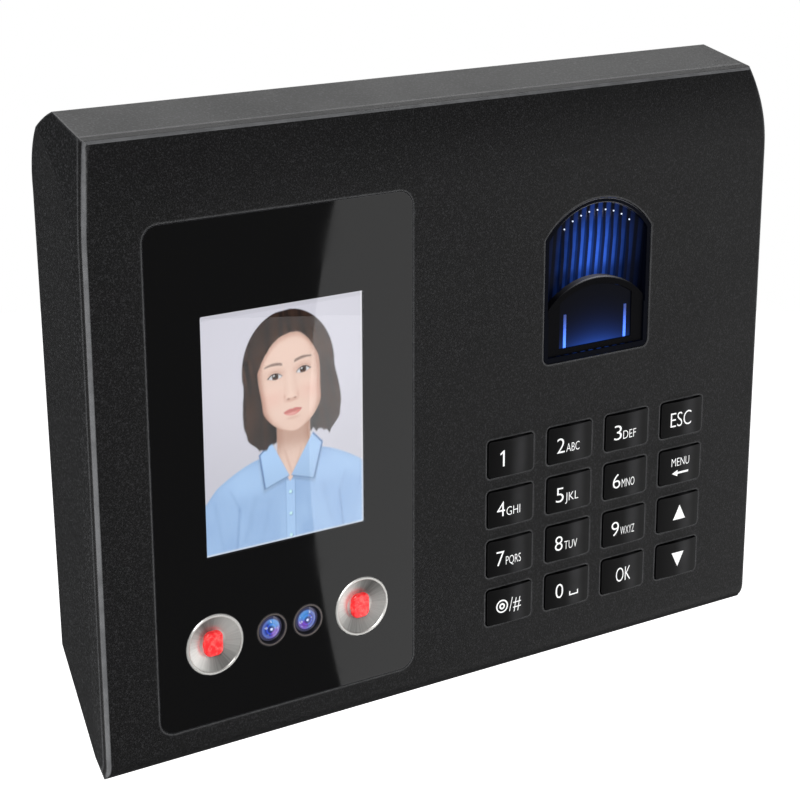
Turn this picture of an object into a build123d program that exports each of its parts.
from build123d import *
import math
import os

# Wall-hung biometric attendance terminal: a colour screen with two lit cameras on the left, a
# finger sensor and a sixteen-key pad on the right. All lengths are in millimetres.
# Frame: origin at the centre of the wall plate's back face. +X is right as seen from the front,
# +Y points into the wall, +Z is up. The front of the case faces -Y.

# ---- driving dimensions: case ----
WIDTH = 196.4
HEIGHT = 152.0
DEPTH = 33.5
FRONT_WALL = 2.4
REAR_WALL = 2.4
SIDE_WALL = 3.4
SIDE_WALL_THINNING = 1.0
SIDE_DRAFT = 0.11
DRAFT_START = 6.6
COVER_EDGE_RADIUS = 1.3
TOP_CURVE_RADIUS = 46.0
TOP_CURVE_DROP = 22.7
TOP_FRONT_DROP = 4.0
TOP_BACK_INSET = 12.0
CREST_DEPTH = 11.0
CREST_DROP = 19.0
CREST_MID_DEPTH = 7.6
CREST_MID_DROP = 5.6
SIDE_EASE_RADIUS = 84.0
SIDE_EASE_DROP = 26.0
BOTTOM_ROUND = 5.0
BOTTOM_LIP_DEPTH = 2.3
REAR_GAP_TOP = 1.0
REAR_GAP_BOTTOM = 4.6
UNDERSIDE_RISE = 23.5

# ---- driving dimensions: display side ----
PANEL_LEFT_MARGIN = 13.9
PANEL_TOP_MARGIN = 23.0
PANEL_WIDTH = 70.6
PANEL_HEIGHT = 121.1
PANEL_CORNER = 3.8
PANEL_THICKNESS = 1.1
PANEL_SETBACK = 0.1
PANEL_GAP = 0.15
VIEW_OFFSET_X = -0.15
VIEW_OFFSET_Z = 9.65
VIEW_WIDTH = 43.2
VIEW_HEIGHT = 57.5
VIEW_CORNER = 0.4
CELL_MARGIN = 0.7
CELL_GAP = 0.3
CELL_SETBACK = 0.4
CELL_THICKNESS = 1.7
BACKLIGHT_THICKNESS = 1.2
BACKLIGHT_MARGIN = 1.4
TRAY_WIDTH = 50.0
TRAY_HEIGHT = 69.2
TRAY_FLOOR = 1.0
POCKET_GAP = 0.2

RING_PITCH = 40.8
RING_BOTTOM_MARGIN = 19.7
RING_RADIUS = 7.55
RING_GAP = 0.1
RING_PROUD = 0.25
RING_RIM = 0.6
RING_BARREL_RADIUS = 6.4
RING_BARREL_LENGTH = 2.1
DISH_FLAT_RADIUS = 3.5
DISH_DEPTH = 1.4
LED_STEM_RADIUS = 2.45
LED_GAP = 0.15
LED_WIDTH = 4.8
LED_HEIGHT = 6.2
LED_CORNER = 1.6
LED_HEAD = 1.1
LED_ROUND = 0.5

CAMERA_PITCH = 10.0
CAMERA_RADIUS = 4.05
CAMERA_GAP = 0.12
CAMERA_PROUD = 0.05
CAMERA_RIM = 0.4
LENS_RADIUS = 3.3
LENS_GAP = 0.1
LENS_EDGE = 1.0
LENS_CROWN = 0.7
LENS_SEAT_DEPTH = 1.95
CAMERA_BOARD_WIDTH = 68.0
CAMERA_BOARD_HEIGHT = 14.6
CAMERA_BOARD_STANDOFF = 4.6
THIN_BOARD = 1.2
POST_RADIUS = 2.0
CAMERA_POST_PITCH = 63.4

# ---- driving dimensions: keypad ----
KEYS_RIGHT_MARGIN = 54.2
KEYS_BOTTOM_MARGIN = 37.9
KEY_COUNT = 4
KEY_PITCH_X = 18.73
KEY_PITCH_Z = 13.32
KEY_WIDTH = 13.9
KEY_HEIGHT = 9.43
KEY_CORNER = 0.8
KEY_GAP = 0.35
KEY_PROUD = 0.35
KEY_CROWN = 0.6
KEY_FLANGE = 0.9
KEY_FLANGE_THICKNESS = 0.8
KEY_REST_GAP = 0.1
KEY_TRAVEL = 1.0
KEY_STEM_RADIUS = 2.1
KEY_STEM_GAP = 0.3
KEY_STOP_GAP = 0.1
KEY_ENTRY = 0.2
MAT_THICKNESS = 1.0
MAT_COLLAR_WALL = 1.0
MAT_MARGIN = 0.8
KEY_BOARD_THICKNESS = 1.6
KEY_BOARD_MARGIN = 5.4
KEY_POST_INSET = 2.4
KEY_POST_RISE = 20.0

# ---- driving dimensions: finger sensor ----
SENSOR_RIGHT_MARGIN = 55.5
SENSOR_TOP_MARGIN = 31.5
SENSOR_WIDTH = 34.0
SENSOR_HEIGHT = 40.9
SENSOR_ARCH_RADIUS = 20.6
SENSOR_CORNER = 2.0
SENSOR_GAP = 0.2
GUIDE_SETBACK = 0.15
GUIDE_FLANGE = 2.5
GUIDE_FLANGE_THICKNESS = 1.5
GUIDE_DEPTH = 13.3
GUIDE_WALL = 1.4
SCOOP_RADIUS = 120.0
SCOOP_TILT = 5.0
SCOOP_TOP_MARGIN = 2.5
SCOOP_START_DEPTH = 1.5
SCOOP_MARGIN = 1.1
SCOOP_FLOOR_HEIGHT = 12.4
RIB_COUNT = 9
RIB_PITCH = 2.6
RIB_WIDTH = 1.0
RIB_HEIGHT = 0.6
LIP_HEIGHT = 20.8
LIP_ARCH_RADIUS = 20.6
SHROUD_SETBACK = 0.6
SHROUD_THICKNESS = 2.0
GLASS_WIDTH = 23.0
GLASS_MARGIN = 3.4
GLASS_HEIGHT = 15.2
GLASS_SETBACK = 0.25
GLASS_THICKNESS = 5.0
GLASS_GAP = 0.1
SLIT_PITCH = 19.4
SLIT_WIDTH = 0.8
SLIT_HEIGHT = 8.6
SLIT_GAP = 0.1
IMAGER_RADIUS = 4.0
IMAGER_HEIGHT = 10.4
SENSOR_BOARD_WIDTH = 32.0
SENSOR_BOARD_MARGIN = 1.0

# ---- driving dimensions: rear, wall plate and board ----
PLATE_WIDTH = 104.0
PLATE_HEIGHT = 70.0
PLATE_THICKNESS = 1.2
PLATE_CORNER = 4.0
PLATE_HOLE_RADIUS = 2.25
PLATE_HOLE_PITCH_X = 80.0
PLATE_HOLE_PITCH_Z = 50.0
PLATE_GAP = 1.5
HANG_DROP = 4.5
PLATE_POCKET_DEPTH = 6.0
HOOK_WIDTH = 8.0
HOOK_PITCH_X = 50.0
HOOK_PITCH_Z = 32.0
HOOK_LIP = 3.5
HOOK_GAP = 0.2
CASE_SCREW_SIDE_MARGIN = 9.0
CASE_SCREW_END_MARGIN = 34.0
CASE_POST_RADIUS = 3.2
CASE_POST_LENGTH = 11.0
CASE_PILOT_RADIUS = 1.2
CASE_PILOT_DEPTH = 9.0
CASE_SCREW_SPARE = 1.0
CASE_TUBE_RADIUS = 4.4
CASE_BORE_RADIUS = 1.6
CASE_HEAD_RADIUS = 2.7
CASE_HEAD_BORE_RADIUS = 3.0
CASE_HEAD_THICKNESS = 1.8
CASE_SEAT = 3.0
THREAD_CLEARANCE = 0.05
DRIVE_RADIUS = 1.1
DRIVE_DEPTH = 1.0
BOARD_LEFT_MARGIN = 24.2
BOARD_RIGHT_MARGIN = 44.2
BOARD_TOP_MARGIN = 31.0
BOARD_BOTTOM_MARGIN = 23.0
BOARD_THICKNESS = 1.6
BOARD_BACK = 11.4
BOARD_HOLE_INSET = 5.0
BOARD_POST_RADIUS = 3.0
BOARD_SCREW_RADIUS = 1.2
BOARD_HOLE_RADIUS = 1.5
BOARD_HEAD_RADIUS = 2.5
BOARD_HEAD_THICKNESS = 1.5
BOARD_SCREW_BITE = 3.0
BOARD_PILOT_DEPTH = 3.4
BAY_X = -35.0
BAY_WIDTH = 66.0
BAY_FRONT = 24.9
BAY_CEILING_MARGIN = 18.0
BAY_WALL = 2.0
JACK_GAP = 0.2
NETWORK_X = -54.0
NETWORK_WIDTH = 16.0
NETWORK_DEPTH = 11.6
NETWORK_LENGTH = 20.0
NETWORK_SOCKET = (11.8, 8.4, 13.0)
USB_X = -31.0
USB_WIDTH = 13.2
USB_DEPTH = 6.0
USB_LENGTH = 14.0
USB_SHELL = 0.4
USB_TONGUE = 1.8
USB_TONGUE_WIDTH = 11.0
USB_SOCKET_DEPTH = 9.0
POWER_X = -12.0
POWER_WIDTH = 9.0
POWER_DEPTH = 11.0
POWER_LENGTH = 14.0
POWER_BORE_RADIUS = 3.0
POWER_PIN_RADIUS = 1.05
POWER_SOCKET_DEPTH = 10.0
POWER_PIN_SHORT = 1.0
SPEAKER_RIGHT_MARGIN = 30.2
SPEAKER_Z = 6.0
SPEAKER_RADIUS = 12.0
SPEAKER_DEPTH = 4.6
SPEAKER_MAGNET_RADIUS = 6.0
SPEAKER_MAGNET_DEPTH = 2.6
GRILLE_COUNT = 5
GRILLE_PITCH = 3.6
GRILLE_SLOT = 1.6
GRILLE_LENGTH = 16.0
BATTERY_X = -40.0
BATTERY_Z = 20.0
BATTERY_WIDTH = 44.0
BATTERY_HEIGHT = 32.0
BATTERY_THICKNESS = 6.2
BATTERY_EDGE = 1.5
PROCESSOR_SIZE = 17.0
PROCESSOR_THICKNESS = 1.6
BUZZER_RADIUS = 6.0
BUZZER_THICKNESS = 8.0
BUZZER_HOLE = 1.0
RIBBON_THICKNESS = 0.3
RIBBON_CORNER = 1.5
DISPLAY_RIBBON_WIDTH = 20.0
DISPLAY_RIBBON_OFFSET = 10.0
DISPLAY_RIBBON_HOLD = 8.0
DISPLAY_RIBBON_DIP = 3.0
KEY_RIBBON_WIDTH = 14.0
KEY_RIBBON_REACH = 6.0
SENSOR_RIBBON_WIDTH = 10.0
SENSOR_RIBBON_LOW = 18.0
SENSOR_RIBBON_HIGH = 10.0

# ---- worked-out places ----
FRONT_Y = -DEPTH
TOP_Z = HEIGHT / 2
BOTTOM_Z = -HEIGHT / 2
HALF_WIDTH = WIDTH / 2
PANEL_X = -HALF_WIDTH + PANEL_LEFT_MARGIN + PANEL_WIDTH / 2
PANEL_Z = TOP_Z - PANEL_TOP_MARGIN - PANEL_HEIGHT / 2
VIEW_X = PANEL_X + VIEW_OFFSET_X
VIEW_Z = PANEL_Z + VIEW_OFFSET_Z
RING_Z = PANEL_Z - PANEL_HEIGHT / 2 + RING_BOTTOM_MARGIN
KEYS_X = HALF_WIDTH - KEYS_RIGHT_MARGIN
KEYS_Z = BOTTOM_Z + KEYS_BOTTOM_MARGIN
SENSOR_X = HALF_WIDTH - SENSOR_RIGHT_MARGIN
SENSOR_APEX = TOP_Z - SENSOR_TOP_MARGIN
SENSOR_BOTTOM = SENSOR_APEX - SENSOR_HEIGHT
SCOOP_START = SENSOR_APEX - SCOOP_TOP_MARGIN
SCOOP_FLOOR_Z = SENSOR_BOTTOM + SCOOP_FLOOR_HEIGHT
LIP_APEX = SENSOR_BOTTOM + LIP_HEIGHT
GLASS_BOTTOM = SENSOR_BOTTOM + GLASS_MARGIN
GLASS_APEX = GLASS_BOTTOM + GLASS_HEIGHT
IMAGER_Z = SENSOR_BOTTOM + IMAGER_HEIGHT
BOARD_WIDTH = WIDTH - BOARD_LEFT_MARGIN - BOARD_RIGHT_MARGIN
BOARD_HEIGHT = HEIGHT - BOARD_TOP_MARGIN - BOARD_BOTTOM_MARGIN
BOARD_CENTRE_X = (BOARD_LEFT_MARGIN - BOARD_RIGHT_MARGIN) / 2
BOARD_CENTRE_Z = (BOARD_BOTTOM_MARGIN - BOARD_TOP_MARGIN) / 2
MOUTH_Z = BOTTOM_Z + BAY_CEILING_MARGIN
SPEAKER_X = HALF_WIDTH - SPEAKER_RIGHT_MARGIN
COVER_BACK_Y = FRONT_Y + FRONT_WALL
CURVE_START_Z = TOP_Z - TOP_CURVE_DROP
PANEL_FRONT_Y = FRONT_Y + PANEL_SETBACK
PANEL_BACK_Y = PANEL_FRONT_Y + PANEL_THICKNESS
CELL_FRONT_Y = PANEL_BACK_Y + CELL_SETBACK
CELL_BACK_Y = CELL_FRONT_Y + CELL_THICKNESS
BACKLIGHT_BACK_Y = CELL_BACK_Y + BACKLIGHT_THICKNESS
TRAY_BACK_Y = BACKLIGHT_BACK_Y + TRAY_FLOOR
RING_FRONT_Y = PANEL_FRONT_Y - RING_PROUD
DISH_FLOOR_Y = RING_FRONT_Y + DISH_DEPTH
CAMERA_BOARD_Y = COVER_BACK_Y + CAMERA_BOARD_STANDOFF
CAMERA_FRONT_Y = PANEL_FRONT_Y - CAMERA_PROUD
LENS_SEAT_Y = CAMERA_FRONT_Y + LENS_SEAT_DEPTH
KEY_FLANGE_Y = COVER_BACK_Y + KEY_REST_GAP
KEY_FLANGE_BACK_Y = KEY_FLANGE_Y + KEY_FLANGE_THICKNESS
COLLAR_FRONT_Y = KEY_FLANGE_BACK_Y + KEY_TRAVEL + KEY_REST_GAP
STEM_END_Y = COLLAR_FRONT_Y + KEY_ENTRY
MAT_FRONT_Y = STEM_END_Y + KEY_TRAVEL + KEY_STOP_GAP
KEY_BOARD_Y = MAT_FRONT_Y + MAT_THICKNESS
GUIDE_FRONT_Y = FRONT_Y + GUIDE_SETBACK
GUIDE_BACK_Y = GUIDE_FRONT_Y + GUIDE_DEPTH
SHROUD_FRONT_Y = FRONT_Y + SHROUD_SETBACK
SHROUD_BACK_Y = SHROUD_FRONT_Y + SHROUD_THICKNESS
GLASS_FRONT_Y = SHROUD_FRONT_Y + GLASS_SETBACK
GLASS_BACK_Y = GLASS_FRONT_Y + GLASS_THICKNESS
BOARD_BACK_Y = -BOARD_BACK
BOARD_FRONT_Y = BOARD_BACK_Y - BOARD_THICKNESS
CASE_JOIN_Y = COVER_BACK_Y + CASE_POST_LENGTH
HEAD_SEAT_Y = CASE_JOIN_Y + CASE_SEAT
RING_XS = (PANEL_X - RING_PITCH / 2, PANEL_X + RING_PITCH / 2)
CAMERA_XS = (PANEL_X - CAMERA_PITCH / 2, PANEL_X + CAMERA_PITCH / 2)
CASE_SCREW_SPOTS = [
    (x, z)
    for x in (-HALF_WIDTH + CASE_SCREW_SIDE_MARGIN, HALF_WIDTH - CASE_SCREW_SIDE_MARGIN)
    for z in (BOTTOM_Z + CASE_SCREW_END_MARGIN, TOP_Z - CASE_SCREW_END_MARGIN)
]
BOARD_X_SPAN = BOARD_WIDTH / 2 - BOARD_HOLE_INSET
BOARD_Z_SPAN = BOARD_HEIGHT / 2 - BOARD_HOLE_INSET
BOARD_SPOTS = [
    (BOARD_CENTRE_X + i * BOARD_X_SPAN, BOARD_CENTRE_Z + j * BOARD_Z_SPAN)
    for i in (-1, 1)
    for j in (-1, 1)
]
KEY_SPOTS = [
    (
        KEYS_X + (column - (KEY_COUNT - 1) / 2) * KEY_PITCH_X,
        KEYS_Z + ((KEY_COUNT - 1) / 2 - row) * KEY_PITCH_Z,
    )
    for row in range(KEY_COUNT)
    for column in range(KEY_COUNT)
]
KEY_NAMES = ["key_1", "key_2", "key_3", "key_escape"]
KEY_NAMES += ["key_4", "key_5", "key_6", "key_menu"]
KEY_NAMES += ["key_7", "key_8", "key_9", "key_up"]
KEY_NAMES += ["key_function", "key_0", "key_ok", "key_down"]
KEYS_HALF_X = (KEY_COUNT - 1) / 2 * KEY_PITCH_X + KEY_WIDTH / 2 + KEY_FLANGE
KEYS_HALF_Z = (KEY_COUNT - 1) / 2 * KEY_PITCH_Z + KEY_HEIGHT / 2 + KEY_FLANGE
KEY_POST_X = KEYS_HALF_X + KEY_BOARD_MARGIN - KEY_POST_INSET
KEY_POST_SPOTS = [
    (KEYS_X + i * KEY_POST_X, KEYS_Z + j * KEY_POST_RISE) for i in (-1, 1) for j in (-1, 1)
]
CAMERA_POST_SPOTS = [(PANEL_X + i * CAMERA_POST_PITCH / 2, RING_Z) for i in (-1, 1)]
FAR = 2 * WIDTH
SKIN_TOLERANCE = 0.1
SKIN_ARC_STEPS = 6
CREST_ARC_STEPS = 5
SIDE_ARC_STEPS = 4


def facing(y):
    """Plane parallel to the wall at depth y: local x is X, local y is Z, and it faces the front."""
    return Plane.XZ.offset(-y)


def save(part, name):
    """Labels a finished piece and writes it under its own name."""
    part.label = name
    export_step(part, f"parts/{name}.step")


def curve_y(inset, z):
    """Depth of the front skin at height z, for a surface this far behind the outer front."""
    radius = TOP_CURVE_RADIUS - inset
    centre = FRONT_Y + TOP_CURVE_RADIUS
    return centre - math.sqrt(radius**2 - (z - CURVE_START_Z) ** 2)


def draw_long_arc(start, middle, end, steps):
    """Arc through three points in the open BuildLine, in equal steps, so meshes keep it smooth."""
    ax, ay = middle[0] - start[0], middle[1] - start[1]
    bx, by = end[0] - start[0], end[1] - start[1]
    area = 2 * (ax * by - ay * bx)
    a_square, b_square = ax * ax + ay * ay, bx * bx + by * by
    cx = (by * a_square - ay * b_square) / area
    cy = (ax * b_square - bx * a_square) / area
    radius = math.hypot(cx, cy)
    centre = (start[0] + cx, start[1] + cy)
    first = math.atan2(-cy, -cx)
    turn = math.remainder(math.atan2(by - cy, bx - cx) - first, 2 * math.pi)

    def place(share):
        if share in (0, 1):
            return end if share else start
        angle = first + share * turn
        return (centre[0] + radius * math.cos(angle), centre[1] + radius * math.sin(angle))

    for k in range(steps):
        ThreePointArc(place(k / steps), place((k + 0.5) / steps), place((k + 1) / steps))


def draw_front_edge(inset, top_z):
    """The front skin from its curled bottom to top_z, drawn into the open BuildLine."""
    turn = math.acos((BOTTOM_ROUND - BOTTOM_LIP_DEPTH) / BOTTOM_ROUND)
    round_z = BOTTOM_Z + BOTTOM_ROUND * math.sin(turn)
    centre = (FRONT_Y + BOTTOM_ROUND, round_z)
    radius = BOTTOM_ROUND - inset
    low = (centre[0] - radius * math.cos(turn), centre[1] - radius * math.sin(turn))
    middle = (centre[0] - radius * math.cos(turn / 2), centre[1] - radius * math.sin(turn / 2))
    high = (FRONT_Y + inset, round_z)
    start = (FRONT_Y + inset, CURVE_START_Z)
    half_z = (CURVE_START_Z + top_z) / 2
    end = (curve_y(inset, top_z), top_z)
    ThreePointArc(low, middle, high)
    Line(high, start)
    draw_long_arc(start, (curve_y(inset, half_z), half_z), end, SKIN_ARC_STEPS)
    return low, end


def is_on_front_skin(edge):
    """Whether an edge's middle lies on the outer front surface, above the bottom curl's end."""
    middle = edge @ 0.5
    skin_y = FRONT_Y + BOTTOM_LIP_DEPTH
    if middle.Z > CURVE_START_Z:
        skin_y = curve_y(0, middle.Z) + SKIN_TOLERANCE
    return middle.Y < skin_y - SKIN_TOLERANCE / 2


def draw_side_outline(wall):
    """Closed side view of the case, with the back, top and underside drawn in by the wall."""
    slope = math.atan2(UNDERSIDE_RISE, DEPTH - BOTTOM_LIP_DEPTH - REAR_GAP_BOTTOM)
    top_z = TOP_Z - TOP_FRONT_DROP - wall
    low, end = draw_front_edge(0, top_z)
    crown = (-TOP_BACK_INSET, TOP_Z - wall)
    mid = (-REAR_GAP_TOP - wall - CREST_DEPTH + CREST_MID_DEPTH, TOP_Z - CREST_MID_DROP - wall)
    nape = (-REAR_GAP_TOP - wall, TOP_Z - CREST_DROP - wall)
    heel_z = BOTTOM_Z + UNDERSIDE_RISE + wall * math.tan(slope / 2)
    heel = (-REAR_GAP_BOTTOM - wall, heel_z)
    toe = (low[0], low[1] + wall / math.cos(slope))
    Line(end, crown)
    draw_long_arc(crown, mid, nape, CREST_ARC_STEPS)
    Line(nape, heel)
    Line(heel, toe)
    if wall > 0:
        Line(toe, low)


def draw_front_outline(half_width):
    """Closed front view of the case: upright sides that ease inwards towards the top."""
    ease_z = TOP_Z - SIDE_EASE_DROP
    centre_x = half_width - SIDE_EASE_RADIUS

    def eased(z):
        return centre_x + math.sqrt(SIDE_EASE_RADIUS**2 - (z - ease_z) ** 2)

    mid_z = (ease_z + TOP_Z) / 2
    low_z = BOTTOM_Z - BOTTOM_ROUND
    Polyline(
        (-half_width, ease_z),
        (-half_width, low_z),
        (half_width, low_z),
        (half_width, ease_z),
    )
    right = ((half_width, ease_z), (eased(mid_z), mid_z), (eased(TOP_Z), TOP_Z))
    left = ((-eased(TOP_Z), TOP_Z), (-eased(mid_z), mid_z), (-half_width, ease_z))
    draw_long_arc(*right, SIDE_ARC_STEPS)
    Line((eased(TOP_Z), TOP_Z), (-eased(TOP_Z), TOP_Z))
    draw_long_arc(*left, SIDE_ARC_STEPS)


def draw_arch(half_width, bottom, apex, arch_radius):
    """Closed outline with a flat bottom, upright sides and an arched top, on the sensor's axis."""
    spring = apex - arch_radius + math.sqrt(arch_radius**2 - half_width**2)
    left = SENSOR_X - half_width
    right = SENSOR_X + half_width
    Polyline((left, spring), (left, bottom), (right, bottom), (right, spring))
    ThreePointArc((right, spring), (SENSOR_X, apex), (left, spring))


def draw_opening(margin):
    """The sensor opening's outline, grown by a margin on every side."""
    half = SENSOR_WIDTH / 2 + margin
    draw_arch(half, SENSOR_BOTTOM - margin, SENSOR_APEX + margin, SENSOR_ARCH_RADIUS + margin)


def draw_glass_hole():
    """The sensor glass's outline with its clearance."""
    half = GLASS_WIDTH / 2 + GLASS_GAP
    draw_arch(half, GLASS_BOTTOM - GLASS_GAP, GLASS_APEX + GLASS_GAP, LIP_ARCH_RADIUS)


# ---- front cover: curved face plate with its cut-outs and screw posts ----
with BuildPart() as front_cover:
    with BuildSketch(Plane.YZ):
        with BuildLine():
            outer_low, outer_end = draw_front_edge(0, TOP_Z)
            inner_low, inner_end = draw_front_edge(FRONT_WALL, TOP_Z)
            Line(outer_low, inner_low)
            Line(outer_end, inner_end)
        make_face()
    extrude(amount=WIDTH, both=True)
    with BuildSketch(Plane.YZ):
        with BuildLine():
            draw_side_outline(0)
        make_face()
    extrude(amount=WIDTH, both=True, mode=Mode.INTERSECT)
    with BuildSketch(Plane.XZ):
        with BuildLine():
            draw_front_outline(HALF_WIDTH)
        make_face()
    extrude(amount=2 * DEPTH, mode=Mode.INTERSECT)
    fillet(front_cover.edges().filter_by(is_on_front_skin), COVER_EDGE_RADIUS)
    for x, z in CASE_SCREW_SPOTS:
        with BuildSketch(facing(CASE_JOIN_Y)):
            with Locations((x, z)):
                Circle(CASE_POST_RADIUS)
        extrude(amount=CASE_POST_LENGTH + FRONT_WALL / 2)
    for x, z in KEY_POST_SPOTS:
        with BuildSketch(facing(KEY_BOARD_Y)):
            with Locations((x, z)):
                Circle(POST_RADIUS)
        extrude(amount=KEY_BOARD_Y - COVER_BACK_Y + FRONT_WALL / 2)
    for x, z in CAMERA_POST_SPOTS:
        with BuildSketch(facing(CAMERA_BOARD_Y)):
            with Locations((x, z)):
                Circle(POST_RADIUS)
        extrude(amount=CAMERA_BOARD_Y - PANEL_BACK_Y)
    with BuildSketch(facing(CASE_JOIN_Y)):
        with Locations(*CASE_SCREW_SPOTS):
            Circle(CASE_PILOT_RADIUS)
    extrude(amount=CASE_PILOT_DEPTH, mode=Mode.SUBTRACT)
    with BuildSketch(facing(PANEL_BACK_Y)):
        with Locations((PANEL_X, PANEL_Z)):
            RectangleRounded(
                PANEL_WIDTH + 2 * PANEL_GAP,
                PANEL_HEIGHT + 2 * PANEL_GAP,
                PANEL_CORNER + PANEL_GAP,
            )
    extrude(amount=DEPTH, mode=Mode.SUBTRACT)
    with BuildSketch(facing(COVER_BACK_Y)):
        with Locations((VIEW_X, VIEW_Z)):
            Rectangle(
                VIEW_WIDTH + 2 * (CELL_MARGIN + CELL_GAP),
                VIEW_HEIGHT + 2 * (CELL_MARGIN + CELL_GAP),
            )
        with Locations(*[(x, RING_Z) for x in RING_XS]):
            Circle(RING_BARREL_RADIUS + RING_GAP)
        with Locations(*[(x, RING_Z) for x in CAMERA_XS]):
            Circle(CAMERA_RADIUS + CAMERA_GAP)
        with Locations(*KEY_SPOTS):
            RectangleRounded(
                KEY_WIDTH + 2 * KEY_GAP,
                KEY_HEIGHT + 2 * KEY_GAP,
                KEY_CORNER + KEY_GAP,
            )
    extrude(amount=DEPTH, mode=Mode.SUBTRACT)
    with BuildSketch(facing(COVER_BACK_Y)) as sensor_opening:
        with BuildLine():
            draw_opening(0)
        make_face()
        fillet(sensor_opening.vertices().group_by(Axis.Y)[0], SENSOR_CORNER)
    extrude(amount=DEPTH, mode=Mode.SUBTRACT)
save(front_cover.part, "front_cover")

# ---- everything the rear housing is hollowed by, with the bosses and wells left standing ----
with BuildPart() as cavity:
    with BuildSketch(Plane.YZ):
        with BuildLine():
            draw_side_outline(REAR_WALL)
        make_face()
    extrude(amount=WIDTH, both=True)
    with BuildSketch(Plane.XY):
        front_half = HALF_WIDTH - SIDE_WALL
        back_half = HALF_WIDTH - SIDE_DRAFT * DEPTH - SIDE_WALL + SIDE_WALL_THINNING
        with BuildLine():
            Polyline(
                (-front_half, FRONT_Y),
                (front_half, FRONT_Y),
                (back_half, 0),
                (-back_half, 0),
                close=True,
            )
        make_face()
    extrude(amount=HEIGHT, both=True, mode=Mode.INTERSECT)
    with BuildSketch(Plane.XZ):
        with BuildLine():
            draw_front_outline(HALF_WIDTH - SIDE_WALL)
        make_face()
    extrude(amount=2 * DEPTH, mode=Mode.INTERSECT)
    with BuildSketch(Plane.XZ):
        with Locations(*CASE_SCREW_SPOTS):
            Circle(CASE_TUBE_RADIUS)
    extrude(amount=-CASE_JOIN_Y, mode=Mode.SUBTRACT)
    with BuildSketch(Plane.XZ):
        with Locations(*BOARD_SPOTS):
            Circle(BOARD_POST_RADIUS)
    extrude(amount=BOARD_BACK, mode=Mode.SUBTRACT)
    with BuildSketch(Plane.XZ):
        well_low = -PLATE_HEIGHT / 2 - HANG_DROP - REAR_WALL
        well_high = PLATE_HEIGHT / 2 + PLATE_GAP + REAR_WALL
        with Locations((0, (well_low + well_high) / 2)):
            Rectangle(PLATE_WIDTH + 2 * (PLATE_GAP + REAR_WALL), well_high - well_low)
    extrude(amount=PLATE_POCKET_DEPTH + REAR_WALL, mode=Mode.SUBTRACT)
    with BuildSketch(Plane.XY.offset(MOUTH_Z + BAY_WALL)):
        with Locations((BAY_X, -BAY_FRONT / 2 - BAY_WALL / 2)):
            Rectangle(BAY_WIDTH + 2 * BAY_WALL, BAY_FRONT + BAY_WALL)
    extrude(amount=-HEIGHT, mode=Mode.SUBTRACT)

# ---- room for the cover: its own band carried forwards and out past the sides ----
with BuildPart() as cover_room:
    with BuildSketch(Plane.YZ):
        with BuildLine():
            band_low, band_end = draw_front_edge(FRONT_WALL, TOP_Z)
            below_lip = (2 * outer_low[0] - band_low[0], 2 * outer_low[1] - band_low[1])
            Polyline(band_end, (-FAR, TOP_Z), (-FAR, below_lip[1]), below_lip, band_low)
        make_face()
    extrude(amount=WIDTH, both=True)

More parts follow.
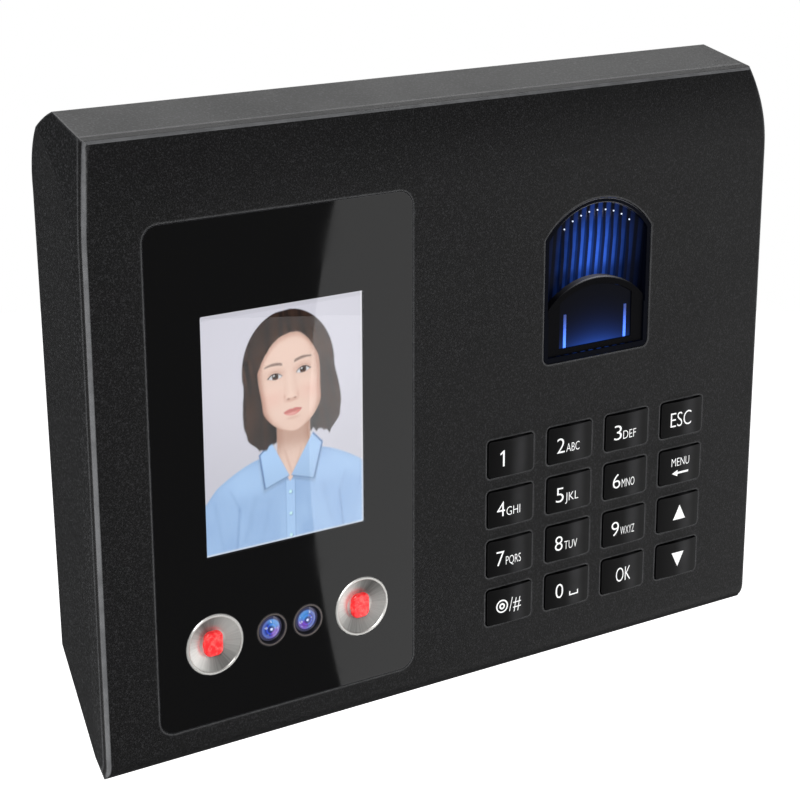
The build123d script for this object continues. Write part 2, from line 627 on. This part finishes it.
# ---- rear housing: deep shell with drafted sides, plate well, cable bay and speaker slots ----
with BuildPart() as rear_housing:
    with BuildSketch(Plane.YZ):
        with BuildLine():
            draw_side_outline(0)
        make_face()
    extrude(amount=WIDTH, both=True)
    with BuildSketch(Plane.XY):
        draft_y = FRONT_Y + DRAFT_START
        back_half = HALF_WIDTH - SIDE_DRAFT * DEPTH
        with BuildLine():
            Polyline(
                (-HALF_WIDTH, FRONT_Y),
                (HALF_WIDTH, FRONT_Y),
                (HALF_WIDTH, draft_y),
                (back_half, 0),
                (-back_half, 0),
                (-HALF_WIDTH, draft_y),
                close=True,
            )
        make_face()
    extrude(amount=HEIGHT, both=True, mode=Mode.INTERSECT)
    with BuildSketch(Plane.XZ):
        with BuildLine():
            draw_front_outline(HALF_WIDTH)
        make_face()
    extrude(amount=2 * DEPTH, mode=Mode.INTERSECT)
    add(cover_room.part, mode=Mode.SUBTRACT)
    add(cavity.part, mode=Mode.SUBTRACT)
    with BuildSketch(Plane.XZ):
        pocket_low = -PLATE_HEIGHT / 2 - HANG_DROP
        pocket_high = PLATE_HEIGHT / 2 + PLATE_GAP
        with Locations((0, (pocket_low + pocket_high) / 2)):
            RectangleRounded(PLATE_WIDTH + 2 * PLATE_GAP, pocket_high - pocket_low, PLATE_CORNER)
    extrude(amount=PLATE_POCKET_DEPTH, mode=Mode.SUBTRACT)
    with BuildSketch(Plane.XZ):
        for side in (-1, 1):
            for level in (-1, 1):
                leg_top = level * HOOK_PITCH_Z / 2 + PLATE_THICKNESS
                slot_height = HANG_DROP + HOOK_LIP
                with Locations((side * HOOK_PITCH_X / 2, leg_top - slot_height / 2)):
                    Rectangle(HOOK_WIDTH + 2 * HOOK_GAP, slot_height)
    extrude(amount=PLATE_POCKET_DEPTH + 2 * REAR_WALL, mode=Mode.SUBTRACT)
    with BuildSketch(Plane.XY.offset(MOUTH_Z)):
        with Locations((BAY_X, -BAY_FRONT / 2)):
            Rectangle(BAY_WIDTH, BAY_FRONT)
    extrude(amount=-HEIGHT, mode=Mode.SUBTRACT)
    with BuildSketch(Plane.XY.offset(MOUTH_Z)):
        with Locations((NETWORK_X, BOARD_FRONT_Y - NETWORK_DEPTH / 2)):
            Rectangle(NETWORK_WIDTH + 2 * JACK_GAP, NETWORK_DEPTH + 2 * JACK_GAP)
        with Locations((USB_X, BOARD_FRONT_Y - USB_DEPTH / 2)):
            Rectangle(USB_WIDTH + 2 * JACK_GAP, USB_DEPTH + 2 * JACK_GAP)
        with Locations((POWER_X, BOARD_FRONT_Y - POWER_DEPTH / 2)):
            Rectangle(POWER_WIDTH + 2 * JACK_GAP, POWER_DEPTH + 2 * JACK_GAP)
    extrude(amount=2 * BAY_WALL, mode=Mode.SUBTRACT)
    with BuildSketch(Plane.XZ):
        with Locations(*CASE_SCREW_SPOTS):
            Circle(CASE_BORE_RADIUS)
    extrude(amount=DEPTH, mode=Mode.SUBTRACT)
    with BuildSketch(Plane.XZ):
        with Locations(*CASE_SCREW_SPOTS):
            Circle(CASE_HEAD_BORE_RADIUS)
    extrude(amount=-HEAD_SEAT_Y, mode=Mode.SUBTRACT)
    with BuildSketch(facing(BOARD_BACK_Y + BOARD_PILOT_DEPTH)):
        with Locations(*BOARD_SPOTS):
            Circle(BOARD_SCREW_RADIUS + THREAD_CLEARANCE)
    extrude(amount=BOARD_PILOT_DEPTH, mode=Mode.SUBTRACT)
    with BuildSketch(Plane.XZ):
        with Locations((SPEAKER_X, SPEAKER_Z)):
            with GridLocations(0, GRILLE_PITCH, 1, GRILLE_COUNT):
                SlotOverall(GRILLE_LENGTH, GRILLE_SLOT)
    extrude(amount=REAR_GAP_BOTTOM + REAR_WALL, mode=Mode.SUBTRACT)
save(rear_housing.part, "rear_housing")

# ---- wall plate: pressed steel with four bent hooks ----
with BuildPart() as wall_plate:
    with BuildSketch(Plane.XZ):
        RectangleRounded(PLATE_WIDTH, PLATE_HEIGHT, PLATE_CORNER)
        with GridLocations(PLATE_HOLE_PITCH_X, PLATE_HOLE_PITCH_Z, 2, 2):
            Circle(PLATE_HOLE_RADIUS, mode=Mode.SUBTRACT)
    extrude(amount=PLATE_THICKNESS)
    lip_back_y = -PLATE_POCKET_DEPTH - REAR_WALL - HOOK_GAP
    lip_front_y = lip_back_y - PLATE_THICKNESS
    for side in (-1, 1):
        for level in (-1, 1):
            base_z = level * HOOK_PITCH_Z / 2
            with BuildSketch(Plane.YZ.offset(side * HOOK_PITCH_X / 2)):
                with BuildLine():
                    Polyline(
                        (-PLATE_THICKNESS, base_z),
                        (lip_front_y, base_z),
                        (lip_front_y, base_z + PLATE_THICKNESS + HOOK_LIP),
                        (lip_back_y, base_z + PLATE_THICKNESS + HOOK_LIP),
                        (lip_back_y, base_z + PLATE_THICKNESS),
                        (-PLATE_THICKNESS, base_z + PLATE_THICKNESS),
                        close=True,
                    )
                make_face()
            extrude(amount=HOOK_WIDTH / 2, both=True)
save(wall_plate.part, "wall_plate")

# ---- case screws: four, from the back into the cover's posts ----
with BuildPart() as case_screws:
    with BuildSketch(facing(HEAD_SEAT_Y + CASE_HEAD_THICKNESS)):
        with Locations(*CASE_SCREW_SPOTS):
            Circle(CASE_HEAD_RADIUS)
    extrude(amount=CASE_HEAD_THICKNESS)
    with BuildSketch(facing(HEAD_SEAT_Y)):
        with Locations(*CASE_SCREW_SPOTS):
            Circle(CASE_PILOT_RADIUS - THREAD_CLEARANCE)
    extrude(amount=CASE_SEAT + CASE_PILOT_DEPTH - CASE_SCREW_SPARE)
    with BuildSketch(facing(HEAD_SEAT_Y + CASE_HEAD_THICKNESS)):
        with Locations(*CASE_SCREW_SPOTS):
            RegularPolygon(DRIVE_RADIUS, 6)
    extrude(amount=DRIVE_DEPTH, mode=Mode.SUBTRACT)
save(case_screws.part, "case_screws")

# ---- display bezel: black acrylic with holes for the window, the light rings and the cameras ----
with BuildPart() as display_bezel:
    with BuildSketch(facing(PANEL_BACK_Y)):
        with Locations((PANEL_X, PANEL_Z)):
            RectangleRounded(PANEL_WIDTH, PANEL_HEIGHT, PANEL_CORNER)
        with Locations((VIEW_X, VIEW_Z)):
            RectangleRounded(VIEW_WIDTH, VIEW_HEIGHT, VIEW_CORNER, mode=Mode.SUBTRACT)
        with Locations(*[(x, RING_Z) for x in RING_XS]):
            Circle(RING_RADIUS + RING_GAP, mode=Mode.SUBTRACT)
        with Locations(*[(x, RING_Z) for x in CAMERA_XS]):
            Circle(CAMERA_RADIUS + CAMERA_GAP, mode=Mode.SUBTRACT)
    extrude(amount=PANEL_THICKNESS)
save(display_bezel.part, "display_bezel")

# ---- display window: clear acrylic bonded into the bezel ----
with BuildPart() as display_window:
    with BuildSketch(facing(PANEL_BACK_Y)):
        with Locations((VIEW_X, VIEW_Z)):
            RectangleRounded(VIEW_WIDTH, VIEW_HEIGHT, VIEW_CORNER)
    extrude(amount=PANEL_THICKNESS)
save(display_window.part, "display_window")

# ---- liquid-crystal cell, its backlight and its metal tray ----
with BuildPart() as display_cell:
    with BuildSketch(facing(CELL_BACK_Y)):
        with Locations((VIEW_X, VIEW_Z)):
            Rectangle(VIEW_WIDTH + 2 * CELL_MARGIN, VIEW_HEIGHT + 2 * CELL_MARGIN)
    extrude(amount=CELL_THICKNESS)
save(display_cell.part, "display_cell")

with BuildPart() as display_backlight:
    with BuildSketch(facing(BACKLIGHT_BACK_Y)):
        with Locations((VIEW_X, VIEW_Z)):
            Rectangle(VIEW_WIDTH + 2 * BACKLIGHT_MARGIN, VIEW_HEIGHT + 2 * BACKLIGHT_MARGIN)
    extrude(amount=BACKLIGHT_THICKNESS)
save(display_backlight.part, "display_backlight")

with BuildPart() as display_tray:
    with BuildSketch(facing(TRAY_BACK_Y)):
        with Locations((VIEW_X, VIEW_Z)):
            Rectangle(TRAY_WIDTH, TRAY_HEIGHT)
    extrude(amount=TRAY_BACK_Y - COVER_BACK_Y)
    with BuildSketch(facing(BACKLIGHT_BACK_Y)):
        with Locations((VIEW_X, VIEW_Z)):
            Rectangle(
                VIEW_WIDTH + 2 * (BACKLIGHT_MARGIN + POCKET_GAP),
                VIEW_HEIGHT + 2 * (BACKLIGHT_MARGIN + POCKET_GAP),
            )
    extrude(amount=DEPTH, mode=Mode.SUBTRACT)
save(display_tray.part, "display_tray")

# ---- illuminators: a spun metal dish and a lamp on each side of the cameras ----
for side_name, ring_x in zip(("left", "right"), RING_XS):
    with BuildPart() as ring:
        with BuildSketch(Plane.XY.offset(RING_Z)):
            with BuildLine():
                Polyline(
                    (ring_x + RING_RADIUS, PANEL_BACK_Y),
                    (ring_x + RING_RADIUS, RING_FRONT_Y + RING_RIM / 3),
                    (ring_x + RING_RADIUS - RING_RIM / 3, RING_FRONT_Y),
                    (ring_x + RING_RADIUS - RING_RIM, RING_FRONT_Y),
                    (ring_x + RING_RADIUS - RING_RIM * 4 / 3, RING_FRONT_Y + RING_RIM / 3),
                    (ring_x + DISH_FLAT_RADIUS, DISH_FLOOR_Y),
                    (ring_x + LED_STEM_RADIUS + LED_GAP, DISH_FLOOR_Y),
                    (ring_x + LED_STEM_RADIUS + LED_GAP, PANEL_BACK_Y + RING_BARREL_LENGTH),
                    (ring_x + RING_BARREL_RADIUS, PANEL_BACK_Y + RING_BARREL_LENGTH),
                    (ring_x + RING_BARREL_RADIUS, PANEL_BACK_Y),
                    close=True,
                )
            make_face()
        revolve(axis=Axis((ring_x, 0, RING_Z), (0, 1, 0)))
    save(ring.part, f"illuminator_ring_{side_name}")

    with BuildPart() as lamp:
        with BuildSketch(facing(DISH_FLOOR_Y)):
            with Locations((ring_x, RING_Z)):
                RectangleRounded(LED_WIDTH, LED_HEIGHT, LED_CORNER)
        extrude(amount=LED_HEAD)
        fillet(lamp.faces().sort_by(Axis.Y)[0].edges(), LED_ROUND)
        with BuildSketch(facing(CAMERA_BOARD_Y)):
            with Locations((ring_x, RING_Z)):
                Circle(LED_STEM_RADIUS)
        extrude(amount=CAMERA_BOARD_Y - DISH_FLOOR_Y)
    save(lamp.part, f"illuminator_lamp_{side_name}")

# ---- cameras: a dark barrel with a coated lens each ----
for side_name, camera_x in zip(("left", "right"), CAMERA_XS):
    bore_radius = LENS_RADIUS + LENS_GAP
    with BuildPart() as barrel:
        with BuildSketch(Plane.XY.offset(RING_Z)):
            with BuildLine():
                Polyline(
                    (camera_x, CAMERA_BOARD_Y),
                    (camera_x + CAMERA_RADIUS, CAMERA_BOARD_Y),
                    (camera_x + CAMERA_RADIUS, CAMERA_FRONT_Y),
                    (camera_x + CAMERA_RADIUS - CAMERA_RIM, CAMERA_FRONT_Y),
                    (camera_x + bore_radius, LENS_SEAT_Y - LENS_EDGE),
                    (camera_x + bore_radius, LENS_SEAT_Y),
                    (camera_x, LENS_SEAT_Y),
                    close=True,
                )
            make_face()
        revolve(axis=Axis((camera_x, 0, RING_Z), (0, 1, 0)))
    save(barrel.part, f"camera_barrel_{side_name}")

    with BuildPart() as lens:
        crown_y = LENS_SEAT_Y - LENS_EDGE - LENS_CROWN
        crown_radius = (LENS_RADIUS**2 + LENS_CROWN**2) / (2 * LENS_CROWN)
        half_x = LENS_RADIUS / 2
        half_y = crown_y + crown_radius - math.sqrt(crown_radius**2 - half_x**2)
        with BuildSketch(Plane.XY.offset(RING_Z)):
            with BuildLine():
                Polyline(
                    (camera_x, crown_y),
                    (camera_x, LENS_SEAT_Y),
                    (camera_x + LENS_RADIUS, LENS_SEAT_Y),
                    (camera_x + LENS_RADIUS, LENS_SEAT_Y - LENS_EDGE),
                )
                ThreePointArc(
                    (camera_x + LENS_RADIUS, LENS_SEAT_Y - LENS_EDGE),
                    (camera_x + half_x, half_y),
                    (camera_x, crown_y),
                )
            make_face()
        revolve(axis=Axis((camera_x, 0, RING_Z), (0, 1, 0)))
    save(lens.part, f"camera_lens_{side_name}")

with BuildPart() as camera_board:
    with BuildSketch(facing(CAMERA_BOARD_Y + THIN_BOARD)):
        with Locations((PANEL_X, RING_Z)):
            Rectangle(CAMERA_BOARD_WIDTH, CAMERA_BOARD_HEIGHT)
    extrude(amount=THIN_BOARD)
save(camera_board.part, "camera_board")

# ---- key caps: crowned across their width, held in by a flange, with a stem behind ----
CROWN_RADIUS = ((KEY_WIDTH / 2) ** 2 + KEY_CROWN**2) / (2 * KEY_CROWN)
for key_name, (key_x, key_z) in zip(KEY_NAMES, KEY_SPOTS):
    with BuildPart() as key_cap:
        edge_y = FRONT_Y - KEY_PROUD
        with BuildSketch(Plane.XY.offset(key_z)):
            with BuildLine():
                Polyline(
                    (key_x - KEY_WIDTH / 2, edge_y),
                    (key_x - KEY_WIDTH / 2, KEY_FLANGE_Y),
                    (key_x + KEY_WIDTH / 2, KEY_FLANGE_Y),
                    (key_x + KEY_WIDTH / 2, edge_y),
                )
                ThreePointArc(
                    (key_x + KEY_WIDTH / 2, edge_y),
                    (key_x, edge_y - KEY_CROWN),
                    (key_x - KEY_WIDTH / 2, edge_y),
                )
            make_face()
        extrude(amount=KEY_HEIGHT / 2, both=True)
        fillet(key_cap.edges().filter_by(Axis.Y), KEY_CORNER)
        with BuildSketch(facing(KEY_FLANGE_BACK_Y)):
            with Locations((key_x, key_z)):
                RectangleRounded(
                    KEY_WIDTH + 2 * KEY_FLANGE,
                    KEY_HEIGHT + 2 * KEY_FLANGE,
                    KEY_CORNER + KEY_FLANGE,
                )
        extrude(amount=KEY_FLANGE_THICKNESS)
        with BuildSketch(facing(STEM_END_Y)):
            with Locations((key_x, key_z)):
                Circle(KEY_STEM_RADIUS)
        extrude(amount=STEM_END_Y - KEY_FLANGE_BACK_Y)
    save(key_cap.part, key_name)

# ---- silicone key mat with a collar round each stem, and the board it lies on ----
with BuildPart() as keypad_mat:
    with BuildSketch(facing(KEY_BOARD_Y)):
        with Locations((KEYS_X, KEYS_Z)):
            Rectangle(2 * (KEYS_HALF_X + MAT_MARGIN), 2 * (KEYS_HALF_Z + MAT_MARGIN))
    extrude(amount=MAT_THICKNESS)
    with BuildSketch(facing(MAT_FRONT_Y)):
        with Locations(*KEY_SPOTS):
            Circle(KEY_STEM_RADIUS + KEY_STEM_GAP + MAT_COLLAR_WALL)
            Circle(KEY_STEM_RADIUS + KEY_STEM_GAP, mode=Mode.SUBTRACT)
    extrude(amount=MAT_FRONT_Y - COLLAR_FRONT_Y)
save(keypad_mat.part, "keypad_mat")

with BuildPart() as keypad_board:
    with BuildSketch(facing(KEY_BOARD_Y + KEY_BOARD_THICKNESS)):
        with Locations((KEYS_X, KEYS_Z)):
            Rectangle(
                2 * (KEYS_HALF_X + KEY_BOARD_MARGIN),
                2 * (KEYS_HALF_Z + MAT_MARGIN),
            )
    extrude(amount=KEY_BOARD_THICKNESS)
save(keypad_board.part, "keypad_board")

# ---- finger guide: arched frame with a ribbed scoop that leans back behind the sensor shroud ----
SCOOP_AXIS = Vector(0, -math.sin(math.radians(SCOOP_TILT)), math.cos(math.radians(SCOOP_TILT)))
SCOOP_OUT = Vector(0, -math.cos(math.radians(SCOOP_TILT)), -math.sin(math.radians(SCOOP_TILT)))
SCOOP_TOP = Vector(SENSOR_X, FRONT_Y + SCOOP_START_DEPTH, SCOOP_START)
SCOOP_CENTRE = SCOOP_TOP + SCOOP_OUT * SCOOP_RADIUS
SCOOP_PLANE = Plane(origin=SCOOP_CENTRE, x_dir=(1, 0, 0), z_dir=SCOOP_AXIS)
SCOOP_REACH = (SCOOP_START - SCOOP_FLOOR_Z) / math.cos(math.radians(SCOOP_TILT))

with BuildPart() as scoop:
    with BuildSketch(SCOOP_PLANE.offset(-SCOOP_REACH)):
        Circle(SCOOP_RADIUS)
    extrude(amount=2 * SCOOP_REACH)
    with BuildSketch(facing(GUIDE_BACK_Y)):
        with BuildLine():
            draw_opening(-SENSOR_GAP - SCOOP_MARGIN)
        make_face()
    extrude(amount=DEPTH, mode=Mode.INTERSECT)

with BuildPart() as scoop_ribs:
    with BuildSketch(SCOOP_PLANE.offset(-SCOOP_REACH)):
        Circle(SCOOP_RADIUS + RIB_HEIGHT)
        Circle(SCOOP_RADIUS - RIB_HEIGHT, mode=Mode.SUBTRACT)
    extrude(amount=SCOOP_REACH)
    with BuildSketch(facing(GUIDE_BACK_Y)):
        with Locations((SENSOR_X, (SCOOP_START + SCOOP_FLOOR_Z) / 2)):
            with GridLocations(RIB_PITCH, 0, RIB_COUNT, 1):
                Rectangle(RIB_WIDTH, SCOOP_START - SCOOP_FLOOR_Z)
    extrude(amount=GUIDE_BACK_Y - FRONT_Y - SCOOP_START_DEPTH, mode=Mode.INTERSECT)

with BuildPart() as finger_guide:
    with BuildSketch(facing(COVER_BACK_Y)) as guide_face:
        with BuildLine():
            draw_opening(-SENSOR_GAP)
        make_face()
        fillet(guide_face.vertices().group_by(Axis.Y)[0], SENSOR_CORNER - SENSOR_GAP)
    extrude(amount=COVER_BACK_Y - GUIDE_FRONT_Y)
    with BuildSketch(facing(COVER_BACK_Y + GUIDE_FLANGE_THICKNESS)):
        with BuildLine():
            draw_opening(GUIDE_FLANGE)
        make_face()
    extrude(amount=GUIDE_FLANGE_THICKNESS)
    with BuildSketch(facing(GUIDE_BACK_Y)):
        with BuildLine():
            draw_opening(-SENSOR_GAP)
        make_face()
    extrude(amount=GUIDE_BACK_Y - COVER_BACK_Y)
    add(scoop.part, mode=Mode.SUBTRACT)
    add(scoop_ribs.part)
    # well for the shroud and the sensor glass, open to the back
    with BuildSketch(facing(SHROUD_BACK_Y)):
        with BuildLine():
            draw_arch(
                SENSOR_WIDTH / 2 - SENSOR_GAP - GUIDE_WALL,
                SENSOR_BOTTOM + SENSOR_GAP + GUIDE_WALL,
                LIP_APEX,
                LIP_ARCH_RADIUS,
            )
        make_face()
    extrude(amount=DEPTH, mode=Mode.SUBTRACT)
    with BuildSketch(facing(GUIDE_BACK_Y)):
        with BuildLine():
            draw_glass_hole()
        make_face()
    extrude(amount=DEPTH, mode=Mode.SUBTRACT)
save(finger_guide.part, "finger_guide")

# ---- sensor shroud: dark plate with an arched lip round the sensor glass ----
with BuildPart() as sensor_shroud:
    with BuildSketch(facing(SHROUD_BACK_Y)):
        with BuildLine():
            draw_arch(
                SENSOR_WIDTH / 2 - SENSOR_GAP - GUIDE_WALL - GLASS_GAP,
                SENSOR_BOTTOM + SENSOR_GAP + GUIDE_WALL + GLASS_GAP,
                LIP_APEX - GLASS_GAP,
                LIP_ARCH_RADIUS,
            )
        make_face()
        with BuildLine():
            draw_glass_hole()
        make_face(mode=Mode.SUBTRACT)
    extrude(amount=SHROUD_THICKNESS)
save(sensor_shroud.part, "sensor_shroud")

# ---- sensor glass with a slot at each side for a light guide ----
with BuildPart() as sensor_glass:
    with BuildSketch(facing(GLASS_BACK_Y)):
        with BuildLine():
            draw_arch(GLASS_WIDTH / 2, GLASS_BOTTOM, GLASS_APEX, LIP_ARCH_RADIUS)
        make_face()
    extrude(amount=GLASS_THICKNESS)
    with BuildSketch(facing(GLASS_BACK_Y)):
        for side in (-1, 1):
            with Locations((SENSOR_X + side * SLIT_PITCH / 2, GLASS_BOTTOM + SLIT_HEIGHT / 2)):
                Rectangle(SLIT_WIDTH + 2 * SLIT_GAP, SLIT_HEIGHT + 2 * SLIT_GAP)
    extrude(amount=GLASS_THICKNESS, mode=Mode.SUBTRACT)
save(sensor_glass.part, "sensor_glass")

with BuildPart() as light_guides:
    with BuildSketch(facing(GUIDE_BACK_Y)):
        for side in (-1, 1):
            with Locations((SENSOR_X + side * SLIT_PITCH / 2, GLASS_BOTTOM + SLIT_HEIGHT / 2)):
                Rectangle(SLIT_WIDTH, SLIT_HEIGHT)
    extrude(amount=GUIDE_BACK_Y - GLASS_FRONT_Y)
save(light_guides.part, "light_guides")

with BuildPart() as sensor_imager:
    with BuildSketch(facing(GUIDE_BACK_Y)):
        with Locations((SENSOR_X, IMAGER_Z)):
            Circle(IMAGER_RADIUS)
    extrude(amount=GUIDE_BACK_Y - GLASS_BACK_Y)
save(sensor_imager.part, "sensor_imager")

with BuildPart() as sensor_board:
    with BuildSketch(facing(GUIDE_BACK_Y + THIN_BOARD)):
        with Locations((SENSOR_X, (SENSOR_BOTTOM + SENSOR_APEX) / 2)):
            Rectangle(SENSOR_BOARD_WIDTH, SENSOR_APEX - SENSOR_BOTTOM + 2 * SENSOR_BOARD_MARGIN)
    extrude(amount=THIN_BOARD)
save(sensor_board.part, "sensor_board")

# ---- main board with what it carries ----
with BuildPart() as main_board:
    with BuildSketch(facing(BOARD_BACK_Y)):
        with Locations((BOARD_CENTRE_X, BOARD_CENTRE_Z)):
            Rectangle(BOARD_WIDTH, BOARD_HEIGHT)
        with Locations(*BOARD_SPOTS):
            Circle(BOARD_HOLE_RADIUS, mode=Mode.SUBTRACT)
    extrude(amount=BOARD_THICKNESS)
save(main_board.part, "main_board")

with BuildPart() as board_screws:
    with BuildSketch(facing(BOARD_FRONT_Y)):
        with Locations(*BOARD_SPOTS):
            Circle(BOARD_HEAD_RADIUS)
    extrude(amount=BOARD_HEAD_THICKNESS)
    with BuildSketch(facing(BOARD_BACK_Y + BOARD_SCREW_BITE)):
        with Locations(*BOARD_SPOTS):
            Circle(BOARD_SCREW_RADIUS)
    extrude(amount=BOARD_SCREW_BITE + BOARD_THICKNESS)
save(board_screws.part, "board_screws")

with BuildPart() as processor:
    with BuildSketch(facing(BOARD_FRONT_Y)):
        Rectangle(PROCESSOR_SIZE, PROCESSOR_SIZE)
    extrude(amount=PROCESSOR_THICKNESS)
save(processor.part, "processor")

with BuildPart() as backup_battery:
    with BuildSketch(facing(BOARD_FRONT_Y)):
        with Locations((BATTERY_X, BATTERY_Z)):
            RectangleRounded(BATTERY_WIDTH, BATTERY_HEIGHT, BATTERY_EDGE)
    extrude(amount=BATTERY_THICKNESS)
    fillet(backup_battery.faces().sort_by(Axis.Y)[0].edges(), BATTERY_EDGE / 2)
save(backup_battery.part, "backup_battery")

with BuildPart() as buzzer:
    with BuildSketch(facing(BOARD_FRONT_Y)):
        with Locations((PROCESSOR_SIZE, -PROCESSOR_SIZE)):
            Circle(BUZZER_RADIUS)
    extrude(amount=BUZZER_THICKNESS)
    with BuildSketch(facing(BOARD_FRONT_Y - BUZZER_THICKNESS + BUZZER_HOLE)):
        with Locations((PROCESSOR_SIZE, -PROCESSOR_SIZE)):
            Circle(BUZZER_HOLE)
    extrude(amount=BUZZER_HOLE, mode=Mode.SUBTRACT)
save(buzzer.part, "buzzer")

# ---- jacks: their mouths open downwards through the roof of the cable bay ----
with BuildPart() as network_jack:
    network_y = BOARD_FRONT_Y - NETWORK_DEPTH / 2
    with BuildSketch(Plane.XY.offset(MOUTH_Z)):
        with Locations((NETWORK_X, network_y)):
            Rectangle(NETWORK_WIDTH, NETWORK_DEPTH)
    extrude(amount=NETWORK_LENGTH)
    with BuildSketch(Plane.XY.offset(MOUTH_Z)):
        with Locations((NETWORK_X, network_y)):
            Rectangle(NETWORK_SOCKET[0], NETWORK_SOCKET[1])
    extrude(amount=NETWORK_SOCKET[2], mode=Mode.SUBTRACT)
save(network_jack.part, "network_jack")

with BuildPart() as usb_port:
    usb_y = BOARD_FRONT_Y - USB_DEPTH / 2
    with BuildSketch(Plane.XY.offset(MOUTH_Z)):
        with Locations((USB_X, usb_y)):
            Rectangle(USB_WIDTH, USB_DEPTH)
    extrude(amount=USB_LENGTH)
    with BuildSketch(Plane.XY.offset(MOUTH_Z)):
        with Locations((USB_X, usb_y)):
            Rectangle(USB_WIDTH - 2 * USB_SHELL, USB_DEPTH - 2 * USB_SHELL)
            Rectangle(USB_TONGUE_WIDTH, USB_TONGUE, mode=Mode.SUBTRACT)
    extrude(amount=USB_SOCKET_DEPTH, mode=Mode.SUBTRACT)
save(usb_port.part, "usb_port")

with BuildPart() as power_jack:
    power_y = BOARD_FRONT_Y - POWER_DEPTH / 2
    with BuildSketch(Plane.XY.offset(MOUTH_Z)):
        with Locations((POWER_X, power_y)):
            Rectangle(POWER_WIDTH, POWER_DEPTH)
    extrude(amount=POWER_LENGTH)
    with BuildSketch(Plane.XY.offset(MOUTH_Z)):
        with Locations((POWER_X, power_y)):
            Circle(POWER_BORE_RADIUS)
    extrude(amount=POWER_SOCKET_DEPTH, mode=Mode.SUBTRACT)
    with BuildSketch(Plane.XY.offset(MOUTH_Z + POWER_PIN_SHORT)):
        with Locations((POWER_X, power_y)):
            Circle(POWER_PIN_RADIUS)
    extrude(amount=POWER_SOCKET_DEPTH - POWER_PIN_SHORT)
save(power_jack.part, "power_jack")

# ---- speaker, seated on the back wall behind its slots ----
REAR_LEAN = (REAR_GAP_BOTTOM - REAR_GAP_TOP) / (HEIGHT - UNDERSIDE_RISE - CREST_DROP)
SPEAKER_LEAN = REAR_LEAN * (SPEAKER_RADIUS + TOP_Z - CREST_DROP - SPEAKER_Z)
SPEAKER_SEAT_Y = -REAR_GAP_TOP - REAR_WALL - SPEAKER_LEAN

with BuildPart() as speaker:
    with BuildSketch(facing(SPEAKER_SEAT_Y)):
        with Locations((SPEAKER_X, SPEAKER_Z)):
            Circle(SPEAKER_RADIUS)
    extrude(amount=SPEAKER_DEPTH)
    with BuildSketch(facing(SPEAKER_SEAT_Y - SPEAKER_DEPTH)):
        with Locations((SPEAKER_X, SPEAKER_Z)):
            Circle(SPEAKER_MAGNET_RADIUS)
    extrude(amount=SPEAKER_MAGNET_DEPTH)
save(speaker.part, "speaker")


def ribbon_part(points, centre_x, ribbon_width):
    """Flat cable through points in the YZ plane, as wide as ribbon_width along X."""
    with BuildPart() as ribbon:
        with BuildSketch(Plane.YZ.offset(centre_x)):
            with BuildLine():
                FilletPolyline(*points, radius=RIBBON_CORNER)
            trace(line_width=RIBBON_THICKNESS)
        extrude(amount=ribbon_width / 2, both=True)
    return ribbon.part


HALF_RIBBON = RIBBON_THICKNESS / 2
tray_low = VIEW_Z - TRAY_HEIGHT / 2
display_ribbon = ribbon_part(
    [
        (TRAY_BACK_Y + HALF_RIBBON, tray_low + DISPLAY_RIBBON_HOLD),
        (TRAY_BACK_Y + HALF_RIBBON, tray_low - DISPLAY_RIBBON_DIP),
        (BOARD_FRONT_Y - HALF_RIBBON, tray_low - DISPLAY_RIBBON_DIP),
        (BOARD_FRONT_Y - HALF_RIBBON, tray_low + DISPLAY_RIBBON_HOLD),
    ],
    VIEW_X + DISPLAY_RIBBON_OFFSET,
    DISPLAY_RIBBON_WIDTH,
)
save(display_ribbon, "display_ribbon")

key_board_back = KEY_BOARD_Y + KEY_BOARD_THICKNESS + HALF_RIBBON
keypad_ribbon = ribbon_part(
    [
        (key_board_back, KEYS_Z - KEY_RIBBON_REACH),
        (key_board_back, KEYS_Z + KEY_RIBBON_REACH),
        (BOARD_FRONT_Y - HALF_RIBBON, KEYS_Z + KEY_RIBBON_REACH),
        (BOARD_FRONT_Y - HALF_RIBBON, KEYS_Z - KEY_RIBBON_REACH),
    ],
    KEYS_X,
    KEY_RIBBON_WIDTH,
)
save(keypad_ribbon, "keypad_ribbon")

sensor_board_back = GUIDE_BACK_Y + THIN_BOARD + HALF_RIBBON
sensor_ribbon = ribbon_part(
    [
        (sensor_board_back, SENSOR_APEX - SENSOR_RIBBON_LOW),
        (sensor_board_back, SENSOR_APEX - SENSOR_RIBBON_HIGH),
        (BOARD_FRONT_Y - HALF_RIBBON, SENSOR_APEX - SENSOR_RIBBON_HIGH),
        (BOARD_FRONT_Y - HALF_RIBBON, SENSOR_APEX - SENSOR_RIBBON_LOW),
    ],
    SENSOR_X,
    SENSOR_RIBBON_WIDTH,
)
save(sensor_ribbon, "sensor_ribbon")
